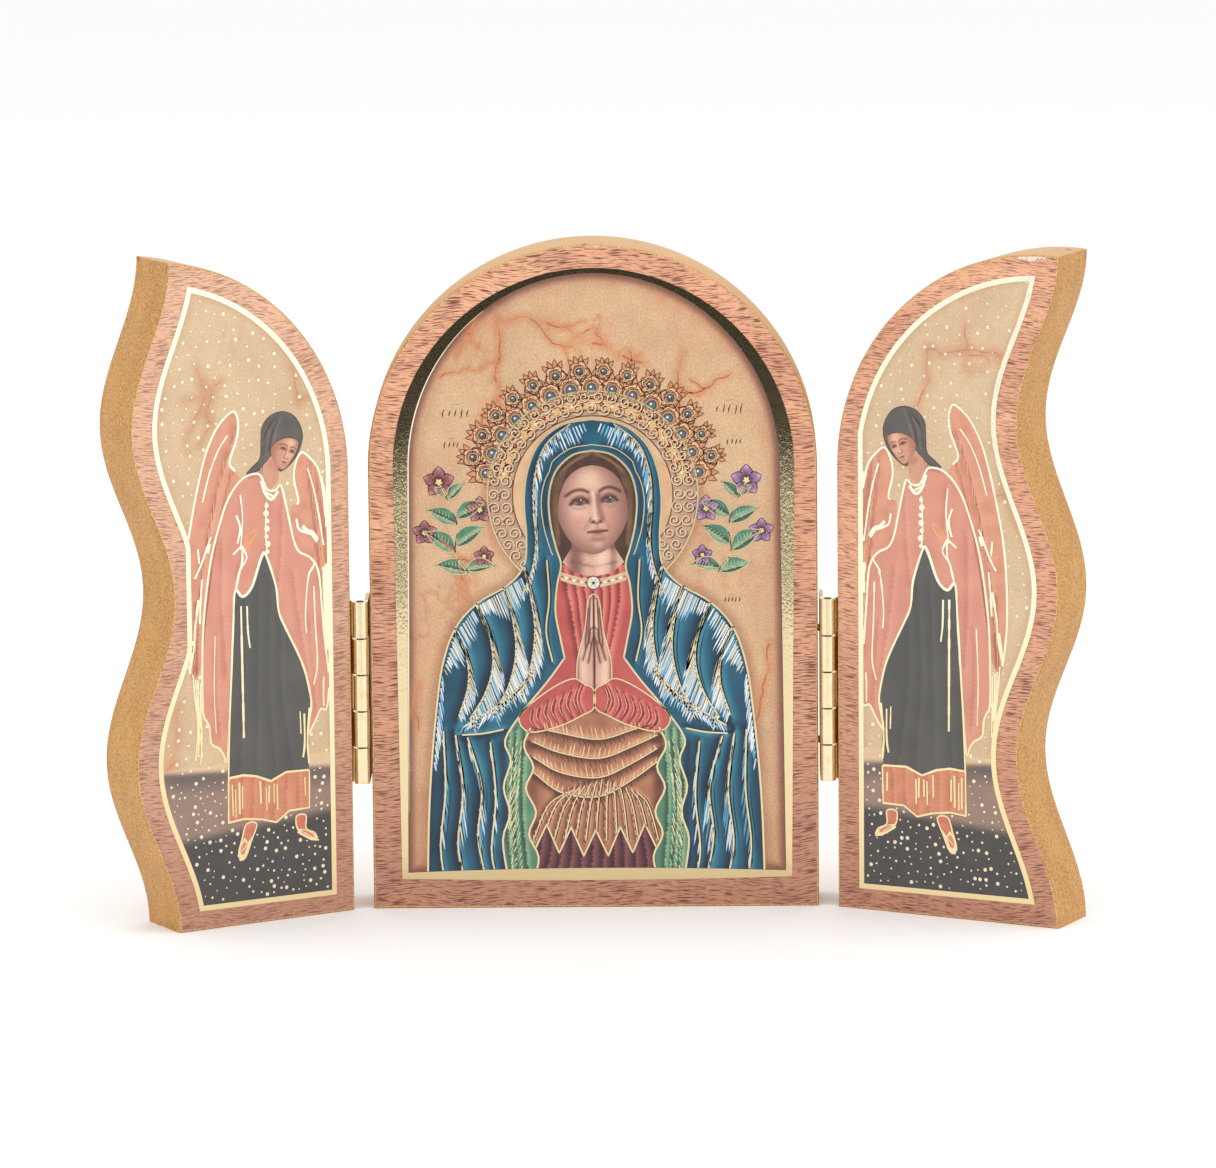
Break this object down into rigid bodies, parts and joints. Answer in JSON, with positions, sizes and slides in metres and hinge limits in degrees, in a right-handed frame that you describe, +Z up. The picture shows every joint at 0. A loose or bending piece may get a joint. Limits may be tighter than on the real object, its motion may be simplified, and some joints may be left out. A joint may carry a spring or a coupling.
{
  "type": "folding triptych icon",
  "caption": "Small arched wooden triptych: a centre panel with two wings that fold shut on brass butt hinges and mesh along a wavy edge.",
  "frame": {"origin": "middle of the centre panel's underside", "axes": "+Z up, the pictures look along -Y, +X to the viewer's right along the panels when they are open flat"},
  "size_m": [0.1447, 0.0295, 0.1],
  "materials": {
    "board": "satin printed and gold painted fibreboard",
    "brass": "polished, lightly scratched",
    "gold_foil": "bright stamped foil"
  },
  "bodies": {
    "centre": {"centre_panel": "board", "left_hinge_centre_leaf": "brass", "left_hinge_centre_screw_upper": "brass", "left_hinge_centre_screw_lower": "brass", "left_hinge_pin": "brass", "right_hinge_centre_leaf": "brass", "right_hinge_centre_screw_upper": "brass", "right_hinge_centre_screw_lower": "brass", "right_hinge_pin": "brass"},
    "left_side": {"left_wing": "board", "left_hinge_wing_leaf": "brass", "left_hinge_wing_screw_upper": "brass", "left_hinge_wing_screw_lower": "brass"},
    "right_side": {"right_wing": "board", "right_hinge_wing_leaf": "brass", "right_hinge_wing_screw_upper": "brass", "right_hinge_wing_screw_lower": "brass"}
  },
  "joints": [
    {"name": "left_wing_fold", "type": "hinge", "parent": "centre", "child": "left_side", "pos_m": [-0.03475, -0.00525, 0.033], "axis": [0, 0, 1], "range_deg": [-38, 148.6]},
    {"name": "right_wing_fold", "type": "hinge", "parent": "centre", "child": "right_side", "pos_m": [0.03475, -0.00525, 0.033], "axis": [0, 0, -1], "range_deg": [-34, 152.8]}
  ]
}
